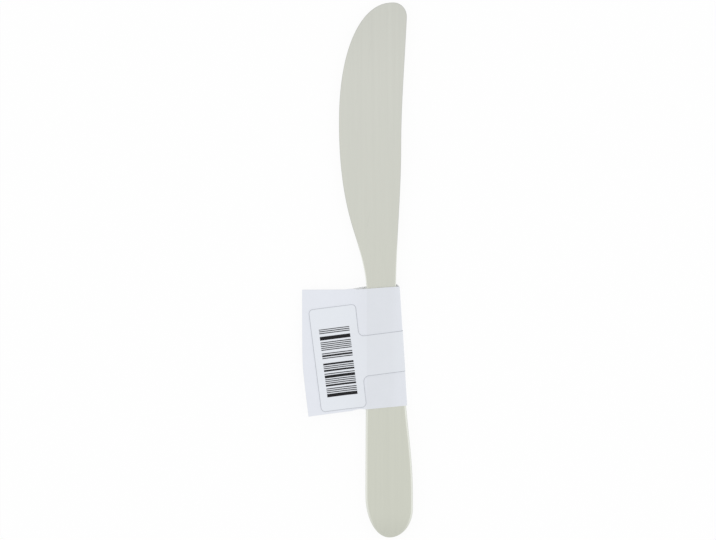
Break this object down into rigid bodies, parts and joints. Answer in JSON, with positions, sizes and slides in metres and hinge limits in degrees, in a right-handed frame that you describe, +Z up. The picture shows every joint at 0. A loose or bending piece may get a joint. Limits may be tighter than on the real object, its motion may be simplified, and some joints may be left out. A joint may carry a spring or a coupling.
{
  "type": "butter knife",
  "caption": "Flat one-piece steel butter knife with a round-tipped blade, for spreading, with a folded paper band and a stuck-on label round its neck.",
  "frame": {"origin": "on the table, under the middle of the whole outline", "axes": "+Y along the knife from butt to tip, +X across it towards the back of the blade, +Z up from the table"},
  "size_m": [0.0408, 0.196, 0.0043],
  "materials": {
    "steel": "satin, brushed along the knife",
    "band_paper": "matt uncoated",
    "label_paper": "smooth matt"
  },
  "bodies": {
    "knife": {"knife": "steel"},
    "band": {"paper_band": "band_paper", "label": "label_paper"}
  },
  "joints": [
    {"name": "band_slide", "type": "slide", "parent": "knife", "child": "band", "axis": [0, 1, 0], "range_m": [0, 0.026]}
  ]
}
